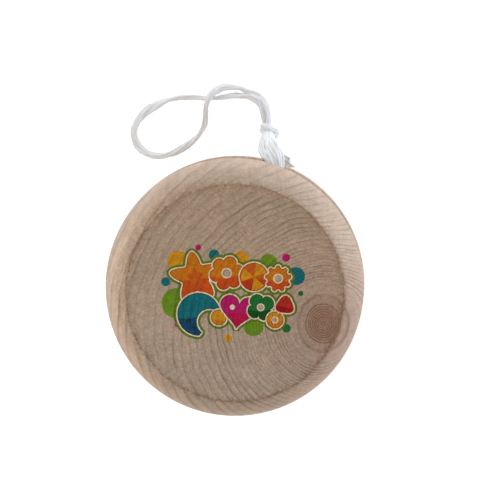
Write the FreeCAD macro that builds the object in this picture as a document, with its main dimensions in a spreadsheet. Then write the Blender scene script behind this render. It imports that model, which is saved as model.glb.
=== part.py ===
import FreeCAD, Part
import math
import os

import Sketcher

# A turned wooden yo-yo that lies on its back face, in millimetres. Z is the axle's line, pointing out
# of the front face. The origin is the centre of the back face, on the surface that the yo-yo lies on.

DIMENSIONS = {
    "disc_dia": 50.0,  # widest diameter of each half
    "overall_width": 30.0,  # over both outer faces
    "string_gap": 3.0,  # between the two inner faces
    "face_dia": 41.0,  # flat outer face, up to its crease
    "inner_edge_radius": 1.5,  # rounding of the edge beside the string gap
    "wall_radius": 22.0,  # profile arc from the widest ring towards the shoulder
    "shoulder_radius": 8.5,  # profile arc from there to the crease
    "axle_dia": 8.0,  # dowel
    "axle_depth": 8.0,  # length of dowel in each half
    "bore_end_room": 0.5,  # room for glue past the dowel's end
    "axle_chamfer": 0.6,
    "string_dia": 1.15,
    "axle_clearance": 0.05,  # between the dowel and the string's loop round it
    "winding_width": 2.4,  # two turns side by side
    "winding_dia": 23.2,
    "neck_dia": 2.0,  # two strands twisted together
    "knot_half_length": 1.5,
    "knot_half_width": 1.4,
    "knot_half_height": 1.3,
}

# Where the string's free end lies. Each list is a route of the string's middle, (x, y, z).
LEAD_ROUTE = [
    (11.0, 1.0, 15.0),
    (10.0, 9.6, 15.1),
    (8.9, 16.6, 14.9),
    (8.3, 20.9, 14.8),
    (7.8, 23.5, 14.3),
    (7.1, 25.3, 12.8),
    (6.5, 26.4, 10.2),
    (6.2, 27.2, 7.2),
    (6.2, 28.0, 4.4),
    (6.1, 29.0, 2.1),
]
KNOT_CENTRE = (5.9, 29.4, 1.3)
NECK_ROUTE = [
    (5.5, 29.9, 1.1),
    (5.3, 31.4, 1.05),
    (5.2, 33.0, 1.0),
    (4.5, 34.4, 1.0),
    (3.4, 35.6, 1.0),
    (1.9, 36.3, 1.0),
]
LOOP_ROUTE = [
    (1.7, 36.9, 0.6),
    (-0.6, 38.0, 0.6),
    (-3.5, 37.9, 1.2),
    (-5.6, 36.5, 2.0),
    (-6.6, 34.1, 2.0),
    (-6.6, 32.0, 1.2),
    (-7.0, 29.9, 0.6),
    (-8.6, 27.6, 0.6),
    (-11.4, 25.5, 0.6),
    (-14.8, 24.1, 0.6),
    (-18.0, 24.3, 0.6),
    (-20.3, 26.1, 0.6),
    (-21.1, 28.8, 0.6),
    (-20.1, 31.5, 0.6),
    (-17.4, 33.9, 0.6),
    (-13.2, 35.7, 0.6),
    (-9.1, 35.9, 0.6),
    (-6.0, 35.5, 0.6),
    (-3.1, 35.9, 0.6),
    (-0.5, 36.3, 0.6),
    (1.9, 36.0, 0.6),
]
TAIL_ROUTE = [
    (6.3, 28.6, 0.8),
    (6.8, 27.1, 0.6),
    (7.4, 25.7, 0.6),
    (8.2, 24.5, 0.6),
    (9.1, 23.6, 0.6),
    (10.0, 22.9, 0.6),
]
ARC_SHARE = 0.45  # part of the shorter run that an arc takes up beside its point

X_AXIS = FreeCAD.Vector(1, 0, 0)


def make_sheet(doc):
    """The spreadsheet of driving dimensions."""
    sheet = doc.addObject("Spreadsheet::Sheet", "Sizes")
    for row, (alias, value) in enumerate(DIMENSIONS.items(), start=1):
        sheet.set(f"A{row}", alias)
        sheet.set(f"B{row}", str(value))
        sheet.setAlias(f"B{row}", alias)
    return sheet


def origin_plane(body, role):
    """One of a body's own origin planes."""
    for feature in body.Origin.OriginFeatures:
        if feature.Role == role:
            return feature
    raise ValueError(f"{body.Label} has no {role}")


def make_body(doc, label, plane):
    """An empty body and a sketch on one of its origin planes."""
    body = doc.addObject("PartDesign::Body", label)
    body.Label = label
    sketch = body.newObject("Sketcher::SketchObject", f"{label}_profile")
    sketch.AttachmentSupport = (origin_plane(body, plane), [""])
    sketch.MapMode = "FlatFace"
    return body, sketch


def bind(sketch, name, constraint, expression):
    """Adds a dimension to a sketch and ties it to the spreadsheet."""
    index = sketch.addConstraint(constraint)
    sketch.renameConstraint(index, name)
    sketch.setExpression(f"Constraints.{name}", expression)


def arc(centre, radius, start, end):
    """Part of a circle in a sketch, from one angle to another, anticlockwise."""
    circle = Part.Circle(FreeCAD.Vector(*centre, 0), FreeCAD.Vector(0, 0, 1), radius)
    return Part.ArcOfCircle(circle, start, end)


def line(start, end):
    return Part.LineSegment(FreeCAD.Vector(*start, 0), FreeCAD.Vector(*end, 0))


def draw_half(sketch, sheet):
    """Half of a wooden half's section: inner face, edge, wall, shoulder, outer face and blind hole."""
    width = (sheet.overall_width - sheet.string_gap) / 2
    radius = sheet.disc_dia / 2
    edge = sheet.inner_edge_radius
    bore = sheet.axle_dia / 2
    depth = sheet.axle_depth + sheet.bore_end_room
    crease = (sheet.face_dia / 2, width)
    # The shoulder's centre is the place that touches the wall arc from inside and reaches the crease.
    wall_centre = (radius - sheet.wall_radius, edge)
    reach = math.dist(wall_centre, crease)
    between = sheet.wall_radius - sheet.shoulder_radius
    cosine = (between**2 + reach**2 - sheet.shoulder_radius**2) / (2 * between * reach)
    slant = math.atan2(crease[1] - edge, crease[0] - wall_centre[0])
    joint = slant - math.acos(cosine)
    shoulder_centre = (
        wall_centre[0] + between * math.cos(joint),
        edge + between * math.sin(joint),
    )
    top = math.atan2(crease[1] - shoulder_centre[1], crease[0] - shoulder_centre[0])
    outline = [
        line((bore, 0), (radius - edge, 0)),
        arc((radius - edge, edge), edge, -math.pi / 2, 0),
        arc(wall_centre, sheet.wall_radius, 0, joint),
        arc(shoulder_centre, sheet.shoulder_radius, joint, top),
        line(crease, (0, width)),
        line((0, width), (0, depth)),
        line((0, depth), (bore, depth)),
        line((bore, depth), (bore, 0)),
    ]
    inner_face, edge_arc, wall_arc, shoulder_arc, face, axis, bore_end, bore_wall = (
        sketch.addGeometry(piece) for piece in outline
    )
    start, end, centre = 1, 2, 3
    origin, x_axis, y_axis = -1, -1, -2
    rules = [
        ("Tangent", inner_face, end, edge_arc, start),
        ("Tangent", edge_arc, end, wall_arc, start),
        ("Tangent", wall_arc, end, shoulder_arc, start),
        ("Coincident", shoulder_arc, end, face, start),
        ("Coincident", face, end, axis, start),
        ("Coincident", axis, end, bore_end, start),
        ("Coincident", bore_end, end, bore_wall, start),
        ("Coincident", bore_wall, end, inner_face, start),
        ("Horizontal", inner_face),
        ("PointOnObject", inner_face, start, x_axis),
        ("Horizontal", edge_arc, centre, edge_arc, end),
        ("Horizontal", face),
        ("Vertical", axis),
        ("PointOnObject", axis, start, y_axis),
        ("Horizontal", bore_end),
        ("Vertical", bore_wall),
    ]
    for rule in rules:
        sketch.addConstraint(Sketcher.Constraint(*rule))
    across = {
        "disc_radius": (edge_arc, end, radius, "Sizes.disc_dia / 2"),
        "face_radius": (face, start, crease[0], "Sizes.face_dia / 2"),
        "bore_radius": (bore_wall, start, bore, "Sizes.axle_dia / 2"),
    }
    for name, (piece, point, value, expression) in across.items():
        rule = Sketcher.Constraint("DistanceX", origin, 1, piece, point, value)
        bind(sketch, name, rule, expression)
    along = {
        "half_width": (face, start, width, "(Sizes.overall_width - Sizes.string_gap) / 2"),
        "bore_depth": (bore_wall, start, depth, "Sizes.axle_depth + Sizes.bore_end_room"),
    }
    for name, (piece, point, value, expression) in along.items():
        rule = Sketcher.Constraint("DistanceY", origin, 1, piece, point, value)
        bind(sketch, name, rule, expression)
    radii = {
        "edge_radius": (edge_arc, edge, "Sizes.inner_edge_radius"),
        "wall_radius": (wall_arc, sheet.wall_radius, "Sizes.wall_radius"),
        "shoulder_radius": (shoulder_arc, sheet.shoulder_radius, "Sizes.shoulder_radius"),
    }
    for name, (piece, value, expression) in radii.items():
        bind(sketch, name, Sketcher.Constraint("Radius", piece, value), expression)


def make_half(doc, sheet, label, turned_over):
    """A wooden half, turned on a lathe about the axle's line, with its inner face beside the string gap."""
    body, sketch = make_body(doc, label, "XZ_Plane")
    draw_half(sketch, sheet)
    turning = body.newObject("PartDesign::Revolution", f"{label}_turning")
    turning.Profile = sketch
    turning.ReferenceAxis = (sketch, ["V_Axis"])
    turning.Angle = 360
    sketch.Visibility = False
    if turned_over:
        body.Placement = FreeCAD.Placement(FreeCAD.Vector(), FreeCAD.Rotation(X_AXIS, 180))
    sign = "-" if turned_over else "+"
    inner_face = f"(Sizes.overall_width {sign} Sizes.string_gap) / 2"
    body.setExpression("Placement.Base.z", inner_face)
    return body


def make_axle(doc, sheet):
    """The dowel that joins the halves, glued into both blind holes, with chamfered ends."""
    body, sketch = make_body(doc, "axle", "XY_Plane")
    outline = Part.Circle(FreeCAD.Vector(), FreeCAD.Vector(0, 0, 1), sheet.axle_dia / 2)
    circle = sketch.addGeometry(outline)
    sketch.addConstraint(Sketcher.Constraint("Coincident", circle, 3, -1, 1))
    rule = Sketcher.Constraint("Diameter", circle, sheet.axle_dia)
    bind(sketch, "axle_dia", rule, "Sizes.axle_dia")
    pad = body.newObject("PartDesign::Pad", "axle_pad")
    pad.Profile = sketch
    pad.setExpression("Length", "Sizes.string_gap + 2 * Sizes.axle_depth")
    sketch.Visibility = False
    doc.recompute()
    rims = [
        f"Edge{number}"
        for number, edge in enumerate(pad.Shape.Edges, start=1)
        if isinstance(edge.Curve, Part.Circle)
    ]
    chamfer = body.newObject("PartDesign::Chamfer", "axle_chamfer")
    chamfer.Base = (pad, rims)
    chamfer.setExpression("Size", "Sizes.axle_chamfer")
    body.Tip = chamfer
    body.setExpression(
        "Placement.Base.z",
        "Sizes.overall_width / 2 - Sizes.string_gap / 2 - Sizes.axle_depth",
    )
    return body


def make_ring(doc, label, inner_radius, outer_radius):
    """Turns of string round the axle, as one ring of their outer shape."""
    cylinders = []
    for name, radius in (("outside", outer_radius), ("inside", inner_radius)):
        cylinder = doc.addObject("Part::Cylinder", f"{label}_{name}")
        cylinder.setExpression("Radius", radius)
        cylinder.setExpression("Height", "Sizes.winding_width")
        cylinders.append(cylinder)
    ring = doc.addObject("Part::Cut", label)
    ring.Label = label
    ring.Base, ring.Tool = cylinders
    ring.setExpression(
        "Placement.Base.z", "(Sizes.overall_width - Sizes.winding_width) / 2"
    )
    return ring


def make_knot(doc):
    """The knot that ties the finger loop, lying on the surface."""
    knot = doc.addObject("Part::Ellipsoid", "finger_knot")
    knot.Label = "finger_knot"
    knot.Angle1 = -90
    knot.setExpression("Radius1", "Sizes.knot_half_height")
    knot.setExpression("Radius2", "Sizes.knot_half_length")
    knot.setExpression("Radius3", "Sizes.knot_half_width")
    knot.Placement = FreeCAD.Placement(FreeCAD.Vector(*KNOT_CENTRE), FreeCAD.Rotation())
    return knot


def rounded_path(route):
    """Straight runs along a route, joined by arcs that are tangent to both, and the arcs' radii."""
    points = [FreeCAD.Vector(*place) for place in route]
    edges = []
    radii = []
    begin = points[0]
    for before, corner, after in zip(points, points[1:], points[2:]):
        towards = (corner - before).normalize()
        away = (after - corner).normalize()
        cut = ARC_SHARE * min((corner - before).Length, (after - corner).Length)
        half_turn = towards.getAngle(away) / 2
        radius = cut / math.tan(half_turn)
        inward = (away - towards).normalize()
        arc_start = corner - towards * cut
        arc_middle = corner + inward * (radius / math.cos(half_turn) - radius)
        arc_end = corner + away * cut
        edges.append(Part.LineSegment(begin, arc_start).toShape())
        edges.append(Part.Arc(arc_start, arc_middle, arc_end).toShape())
        radii.append(radius)
        begin = arc_end
    edges.append(Part.LineSegment(begin, points[-1]).toShape())
    return Part.Wire(edges), radii


def make_tube(doc, label, route, diameter):
    """A stretch of string along a route, as a plain round tube."""
    path, radii = rounded_path(route)
    first_run = FreeCAD.Vector(*route[1]) - FreeCAD.Vector(*route[0])
    section = Part.Wire(Part.Circle(FreeCAD.Vector(*route[0]), first_run, diameter / 2).toShape())
    tube = doc.addObject("Part::Feature", label)
    tube.Label = label
    tube.Shape = path.makePipeShell([section], True, False)
    tube.Placement = FreeCAD.Placement()
    expected = math.pi * diameter**2 / 4 * path.Length
    rounded = ", ".join(f"{radius:.1f}" for radius in radii)
    share = tube.Shape.Volume / expected
    print(f"{label}: length {path.Length:.1f}, volume {share:.4f} of expected, radii {rounded}")
    return tube


def export(parts):
    """Checks each piece and writes it to its own file."""
    os.makedirs("parts", exist_ok=True)
    for part in parts:
        if part.Shape.isNull() or not part.Shape.isValid():
            raise ValueError(f"{part.Label} has no valid shape")
    for part in parts:
        part.Shape.exportStep(f"parts/{part.Label}.step")


def main():
    doc = FreeCAD.newDocument("yoyo")
    sheet = make_sheet(doc)
    doc.recompute()
    loop_inside = "Sizes.axle_dia / 2 + Sizes.axle_clearance"
    loop_outside = f"{loop_inside} + Sizes.string_dia"
    parts = [
        make_half(doc, sheet, "front_half", turned_over=False),
        make_half(doc, sheet, "back_half", turned_over=True),
        make_axle(doc, sheet),
        make_ring(doc, "axle_loop", loop_inside, loop_outside),
        make_ring(doc, "string_winding", loop_outside, "Sizes.winding_dia / 2"),
        make_knot(doc),
        make_tube(doc, "string_lead", LEAD_ROUTE, sheet.string_dia),
        make_tube(doc, "loop_neck", NECK_ROUTE, sheet.neck_dia),
        make_tube(doc, "finger_loop", LOOP_ROUTE, sheet.string_dia),
        make_tube(doc, "string_tail", TAIL_ROUTE, sheet.string_dia),
    ]
    doc.recompute()
    for item in doc.Objects:
        if "Invalid" in item.State or "Error" in item.State:
            raise ValueError(f"{item.Name} did not compute: {item.State}")
    export(parts)


main()
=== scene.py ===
import math
import random
from types import SimpleNamespace

import bmesh
import bpy
import numpy as np
from mathutils import Matrix, Vector
from mathutils.geometry import delaunay_2d_cdt


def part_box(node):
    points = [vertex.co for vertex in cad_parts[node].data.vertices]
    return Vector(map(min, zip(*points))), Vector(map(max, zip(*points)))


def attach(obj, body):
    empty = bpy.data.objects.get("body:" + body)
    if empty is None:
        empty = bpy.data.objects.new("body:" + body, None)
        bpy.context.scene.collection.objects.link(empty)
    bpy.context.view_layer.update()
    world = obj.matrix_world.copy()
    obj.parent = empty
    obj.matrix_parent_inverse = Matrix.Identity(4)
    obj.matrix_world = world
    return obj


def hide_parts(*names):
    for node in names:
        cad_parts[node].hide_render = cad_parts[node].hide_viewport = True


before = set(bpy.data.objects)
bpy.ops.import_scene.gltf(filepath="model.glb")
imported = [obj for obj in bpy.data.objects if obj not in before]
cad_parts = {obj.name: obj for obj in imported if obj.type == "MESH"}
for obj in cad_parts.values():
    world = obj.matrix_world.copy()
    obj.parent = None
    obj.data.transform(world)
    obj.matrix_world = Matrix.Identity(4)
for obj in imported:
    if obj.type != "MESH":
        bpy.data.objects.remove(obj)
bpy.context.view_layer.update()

# Lengths are in millimetres unless a name says otherwise. MM turns them into Blender's metres.
MM = 0.001
TURN = 2 * math.pi

# ---- places, from the frame
front_low, front_high = (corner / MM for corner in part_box("front_half"))
back_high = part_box("back_half")[1] / MM
axle_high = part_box("axle")[1] / MM
DISC_RADIUS = front_high.x
FRONT_FACE = front_high.z
HALF_WIDTH = front_high.z - front_low.z
GAP_MIDDLE = (front_low.z + back_high.z) / 2
HALF_GAP = (front_low.z - back_high.z) / 2
BORE_RADIUS = axle_high.x
BORE_DEPTH = axle_high.z - front_low.z
CREASE_RADIUS = 20.5
INNER_EDGE_RADIUS = 1.5
WALL_RADIUS = 22.0
SHOULDER_RADIUS = 8.5

# ---- the string's route
STRING_DIAMETER = 1.15
LEAD_ROUTE = [
    (11.0, 1.0, 15.0), (10.0, 9.6, 15.1), (8.9, 16.6, 14.9), (8.3, 20.9, 14.8), (7.8, 23.5, 14.3),
    (7.1, 25.3, 12.8), (6.3, 26.4, 10.2), (5.9, 27.2, 7.2), (5.8, 28.0, 4.4), (6.0, 29.0, 2.1),
]
KNOT_CENTRE = (5.9, 29.4, 1.3)
NECK_ROUTE = [
    (5.5, 29.9, 1.1), (5.3, 31.4, 1.05), (5.2, 33.0, 1.0), (4.9, 34.8, 1.0), (3.5, 36.0, 1.0),
    (1.9, 36.5, 1.0),
]
LOOP_ROUTE = [
    (1.7, 36.9, 0.6), (-0.6, 38.0, 0.6), (-3.5, 37.9, 1.2), (-5.6, 36.5, 2.0), (-6.6, 34.1, 2.0),
    (-6.6, 32.0, 1.2), (-7.0, 29.9, 0.6), (-8.6, 27.6, 0.6), (-11.4, 25.5, 0.6),
    (-14.8, 24.1, 0.6), (-18.0, 24.3, 0.6), (-20.3, 26.1, 0.6), (-21.1, 28.8, 0.6),
    (-20.1, 31.5, 0.6), (-17.4, 33.9, 0.6), (-13.2, 35.7, 0.6), (-9.1, 35.9, 0.6),
    (-6.0, 35.5, 0.6), (-3.1, 35.9, 0.6), (-0.5, 36.3, 0.6), (1.9, 36.0, 0.6),
]
TAIL_ROUTE = [
    (6.3, 28.6, 0.8), (6.8, 27.1, 0.6), (7.4, 25.7, 0.6), (8.2, 24.5, 0.6), (9.1, 23.6, 0.6),
    (10.0, 22.9, 0.6),
]
WINDING_START_RADIUS = 4.65
CLEAR_OF_DOWEL = 4.70  # the least radius of a turn, so that no yarn dips into the dowel
WINDING_LAYER = 1.05
WINDING_TURNS = 14
WINDING_SIDE_STEP = 0.58
POINTS_PER_TURN = 16
# The neck's two strands lie this far either side of its route, and turn round each other.
NECK_REACH = 0.44
NECK_RISE = 0.12
NECK_START_DEGREES = -24
NECK_STEP_DEGREES = 12


# ---- numbers and lines
def fractions(start, end, steps):
    """Evenly spaced numbers, with both ends."""
    return [start + (end - start) * step / steps for step in range(steps + 1)]


def distances_along(line):
    """Distance of each point of a line from its start."""
    steps = np.linalg.norm(np.diff(line, axis=0), axis=1)
    return np.concatenate([[0.0], np.cumsum(steps)])


def line_length(line):
    return float(distances_along(line)[-1])


def spaced(line, places):
    """Points at given distances along a line."""
    along = distances_along(line)
    return np.stack([np.interp(places, along, line[:, axis]) for axis in range(line.shape[1])], axis=1)


def unit(vectors):
    """The vectors, made one long."""
    return vectors / np.maximum(np.linalg.norm(vectors, axis=-1, keepdims=True), 1e-12)


# ---- camera and lights
CAMERA_TARGET = (2.96, 7.18, 18.0)
CAMERA_DISTANCE = 650
CAMERA_LENS = 242.0
CAMERA_LEAN = (2.8, 5.5)  # degrees to the right and upwards


def add_to_scene(name, data):
    """An object with its data, in the scene."""
    thing = bpy.data.objects.new(name, data)
    bpy.context.scene.collection.objects.link(thing)
    return thing


def aim(thing, place, target, up):
    """Puts a camera or light at a place, looking at a target."""
    back = (place - target).normalized()
    right = up.cross(back).normalized()
    turned = Matrix((right, back.cross(right), back)).transposed()
    thing.matrix_world = Matrix.Translation(place) @ turned.to_4x4()


def make_camera():
    """Almost straight above the front face, leaning a little towards the string's side."""
    lean = [math.tan(math.radians(degrees)) for degrees in CAMERA_LEAN]
    target = Vector(CAMERA_TARGET)
    away = Vector((*lean, 1.0)).normalized()
    data = bpy.data.cameras.new("camera")
    data.lens = CAMERA_LENS
    data.sensor_width = 36
    data.clip_start = 0.01
    camera = add_to_scene("camera", data)
    aim(camera, (target + away * CAMERA_DISTANCE) * MM, target * MM, Vector((0, 1, 0)))
    bpy.context.scene.camera = camera


# Soft lights: name, direction from the yo-yo, width, power and colour.
LIGHTS = [
    ("top_side", (0.15, 1.0, 0.15), 260, 0.50, (0.93, 1.0, 1.12)),
    ("left_side", (-1.0, 0.15, 0.90), 240, 0.51, (1.0, 0.975, 0.94)),
    ("right_side", (1.0, 0.45, 0.13), 240, 0.82, (0.90, 1.0, 1.16)),
    ("low_side", (-0.2, -0.5, 1.20), 240, 0.27, (1.0, 0.93, 0.84)),
]
LIGHT_DISTANCE = 420
SKY_STRENGTH = 0.36


def make_light(name, direction, width, power, colour):
    """A square soft light that points at the yo-yo."""
    data = bpy.data.lights.new(name, "AREA")
    data.size = width * MM
    data.energy = power
    data.color = colour
    light = add_to_scene(name, data)
    target = Vector((0, 0, GAP_MIDDLE)) * MM
    place = target + Vector(direction).normalized() * LIGHT_DISTANCE * MM
    aim(light, place, target, Vector((0.1, 0.2, 1)))


def make_lights():
    """All the soft lights and an even white sky."""
    for light in LIGHTS:
        make_light(*light)
    world = bpy.data.worlds.new("studio")
    world.use_nodes = True
    sky = world.node_tree.nodes["Background"]
    sky.inputs["Color"].default_value = (1, 1, 1, 1)
    sky.inputs["Strength"].default_value = SKY_STRENGTH
    bpy.context.scene.world = world
    bpy.context.scene.view_settings.view_transform = "Standard"


# ---- node helpers
class Nodes:
    """Adds shader nodes to a material or a node group, with plain calls."""

    def __init__(self, tree):
        self.tree = tree

    def add(self, kind, **settings):
        node = self.tree.nodes.new(kind)
        for name, value in settings.items():
            setattr(node, name, value)
        return node

    def join(self, value, socket):
        """A socket is linked, and a plain value is set."""
        if isinstance(value, bpy.types.NodeSocket):
            self.tree.links.new(value, socket)
        else:
            socket.default_value = value

    def fill(self, kind, *values, **settings):
        """A new node whose first inputs have the given values."""
        node = self.add(kind, **settings)
        for value, socket in zip(values, node.inputs):
            self.join(value, socket)
        return node

    def math(self, operation, *values, clamp=False):
        return self.fill("ShaderNodeMath", *values, operation=operation, use_clamp=clamp).outputs[0]

    def times(self, first, *others):
        """A product of two or more values."""
        for value in others:
            first = self.math("MULTIPLY", first, value)
        return first

    def linear(self, value, slope, start):
        """A value times a slope, plus a start."""
        return self.math("MULTIPLY_ADD", value, slope, start)

    def minus(self, first, second):
        return self.math("SUBTRACT", first, second)

    def vector_math(self, operation, *values):
        node = self.fill("ShaderNodeVectorMath", *values, operation=operation)
        return node.outputs["Value" if operation in ("LENGTH", "DOT_PRODUCT") else "Vector"]

    def place(self):
        """Where a point of the piece is, in millimetres."""
        spot = self.add("ShaderNodeTexCoord").outputs["Object"]
        return self.vector_math("MULTIPLY", spot, (1 / MM, 1 / MM, 1 / MM))

    def split(self, vector):
        return self.fill("ShaderNodeSeparateXYZ", vector).outputs

    def combine(self, x, y, z):
        return self.fill("ShaderNodeCombineXYZ", x, y, z).outputs[0]

    def noise(self, vector, scale, detail=2.0, roughness=0.5):
        """Smooth noise from 0 to 1."""
        node = self.add("ShaderNodeTexNoise")
        self.join(vector, node.inputs["Vector"])
        node.inputs["Scale"].default_value = scale
        node.inputs["Detail"].default_value = detail
        node.inputs["Roughness"].default_value = roughness
        return node.outputs[0]

    def swing(self, vector, scale, detail=2.0, roughness=0.5):
        """Smooth noise from -0.5 to 0.5."""
        return self.minus(self.noise(vector, scale, detail, roughness), 0.5)

    def smooth_step(self, value, low, high, out_low=0.0, out_high=1.0):
        """Goes smoothly from out_low to out_high as a value goes from low to high."""
        values = (value, low, high, out_low, out_high)
        return self.fill("ShaderNodeMapRange", *values, interpolation_type="SMOOTHSTEP").outputs["Result"]

    def ramp(self, value, stops):
        """A grey or coloured ramp, from (position, colour) stops."""
        node = self.fill("ShaderNodeValToRGB", value)
        elements = node.color_ramp.elements
        while len(elements) < len(stops):
            elements.new(0.5)
        for element, (position, colour) in zip(elements, stops):
            element.position = position
            grey = isinstance(colour, float)
            element.color = (colour, colour, colour, 1) if grey else (*colour, 1)
        return node.outputs[0]

    def mix(self, blend, factor, first, second):
        """Mixes two colours."""
        node = self.add("ShaderNodeMix", data_type="RGBA", blend_type=blend)
        self.join(factor, node.inputs[0])
        for value, socket in ((first, node.inputs[6]), (second, node.inputs[7])):
            plain = isinstance(value, tuple) and len(value) == 3
            self.join((*value, 1) if plain else value, socket)
        return node.outputs[2]

    def bump(self, height, distance):
        node = self.add("ShaderNodeBump")
        node.inputs["Distance"].default_value = distance * MM
        self.join(height, node.inputs["Height"])
        return node.outputs[0]


def new_material(name, roughness, specular, sheen=0.0, sheen_roughness=0.5):
    """A material with one Principled shader, and its node helper."""
    material = bpy.data.materials.new(name)
    material.use_nodes = True
    shader = material.node_tree.nodes["Principled BSDF"]
    shader.inputs["Roughness"].default_value = roughness
    shader.inputs["Specular IOR Level"].default_value = specular
    shader.inputs["Sheen Weight"].default_value = sheen
    shader.inputs["Sheen Roughness"].default_value = sheen_roughness
    return material, Nodes(material.node_tree), shader


def dress(nodes, shader, colour, height, depth):
    """Gives a shader its colour, and a bump of some depth from a height."""
    nodes.join(colour, shader.inputs["Base Color"])
    nodes.join(nodes.bump(height, depth), shader.inputs["Normal"])


# ---- wood
PALE_WOOD = (0.445, 0.322, 0.230)
DARK_WOOD = (0.240, 0.142, 0.080)
PINKISH = (1.025, 0.99, 0.98)
GREENISH = (0.975, 1.005, 1.01)
GREYER = (1.02, 1.055, 1.12)
YELLOWER = (0.985, 0.965, 0.905)
# Painted warm shade for the lower part of the rim.
LOW_RIM_PAINTED_SHADE = (0.92, 0.855, 0.79)
CORE_RADIUS = 5.4
CORE_SQUEEZE = (1.07, 0.95, 1.0)
CORE_TINT = (0.80, 0.64, 0.53)
NEAR_CORE_TINT = (0.93, 0.87, 0.87)
CREASE_BROWN = (0.240, 0.128, 0.062)
CREASE_SHIFT = (0.62, 0.05)
CREASE_SPREAD = 0.28
# The rim's paleness: partly its long grain, partly painted light.
RIM_GRAIN_AND_PAINTED_LIGHT = 1.15
# Painted shade on the wood beside and inside the string gap.
GAP_PAINTED_SHADE = 0.6
# Distance from the pith, and how many rings lie inside it.
RING_COUNTS = [
    (0.0, 0), (3.6, 8), (5.3, 9), (6.6, 10), (8.4, 12), (15.0, 23.5), (20.0, 29.0), (25.0, 33.2),
    (30.0, 36.4), (50.0, 47.2),
]
RING_PROFILE = [(0.0, 0.35), (0.10, 0.02), (0.55, 0.08), (0.78, 0.45), (0.92, 1.0), (1.0, 0.80)]


def ring_curve(nodes, distance):
    """The number of growth rings inside a distance from the pith."""
    reach, total = RING_COUNTS[-1]
    curve = nodes.add("ShaderNodeFloatCurve")
    points = curve.mapping.curves[0].points
    while len(points) < len(RING_COUNTS):
        points.new(0.5, 0.5)
    for point, (radius, count) in zip(points, RING_COUNTS):
        point.location = (radius / reach, count / total)
        point.handle_type = "VECTOR"
    curve.mapping.update()
    nodes.join(nodes.math("DIVIDE", distance, reach), curve.inputs["Value"])
    return nodes.times(curve.outputs[0], total)


def wood_places(nodes, pith, seed):
    """The places and distances that the wood's pattern is made from."""
    at = SimpleNamespace()
    spot = nodes.place()
    at.x, at.y, z = nodes.split(spot)
    at.grain_spot = nodes.vector_math("ADD", spot, (seed, -seed, 0.3 * seed))
    at.along_grain = nodes.vector_math("MULTIPLY", at.grain_spot, (1, 1, 0.12))
    at.from_axle = nodes.vector_math("LENGTH", nodes.combine(at.x, at.y, 0.0))
    at.from_middle = nodes.math("ABSOLUTE", nodes.minus(z, GAP_MIDDLE))

    # Distance from the pith, measured a little oval near it.
    flat = nodes.combine(nodes.minus(at.x, pith[0]), nodes.minus(at.y, pith[1]), 0.0)
    at.outwards = nodes.vector_math("NORMALIZE", flat)
    at.plain_distance = nodes.vector_math("LENGTH", flat)
    oval_distance = nodes.vector_math("LENGTH", nodes.vector_math("MULTIPLY", flat, CORE_SQUEEZE))
    oval = nodes.smooth_step(at.plain_distance, 12.0, 5.0)
    at.distance = nodes.linear(oval, nodes.minus(oval_distance, at.plain_distance), at.plain_distance)

    # The crease is not quite round. The rim is long grain, and starts softly at the crease.
    off_axis = nodes.combine(nodes.minus(at.x, CREASE_SHIFT[0]), nodes.minus(at.y, CREASE_SHIFT[1]), 0.0)
    wobble = nodes.swing(at.grain_spot, 0.22, 4.0, 0.6)
    at.edge = nodes.linear(wobble, 0.7, nodes.vector_math("LENGTH", off_axis))
    at.on_face = nodes.smooth_step(at.from_middle, HALF_WIDTH - 0.6, HALF_WIDTH + 0.4)
    start = nodes.smooth_step(at.edge, CREASE_RADIUS - 0.3, CREASE_RADIUS + 0.4, 0.0, 0.12)
    steep = nodes.smooth_step(at.from_axle, CREASE_RADIUS, DISC_RADIUS - 1.0, 0.0, 0.88)
    at.rim = nodes.math("MAXIMUM", nodes.math("ADD", start, steep), nodes.minus(1.0, at.on_face))
    return at


def wavy_distance(nodes, at, drift):
    """Distance from the pith, where the outer rings lie off its centre and all of them wave slowly."""
    towards = nodes.vector_math("DOT_PRODUCT", at.outwards, (*drift, 0.0))
    off_centre = nodes.smooth_step(at.distance, 10.0, 34.0)
    waved = nodes.linear(nodes.times(towards, off_centre), -1.0, at.distance)
    slow_size = nodes.smooth_step(at.distance, 2.0, 24.0, 0.5, 2.1)
    quick_size = nodes.smooth_step(at.distance, 4.0, 22.0, 0.20, 0.30)
    waved = nodes.linear(nodes.swing(at.along_grain, 0.10), slow_size, waved)
    waved = nodes.linear(nodes.swing(at.along_grain, 0.55), quick_size, waved)
    waved = nodes.linear(nodes.swing(at.along_grain, 1.9), 0.11, waved)
    return nodes.math("MAXIMUM", waved, 0.0)


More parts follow.
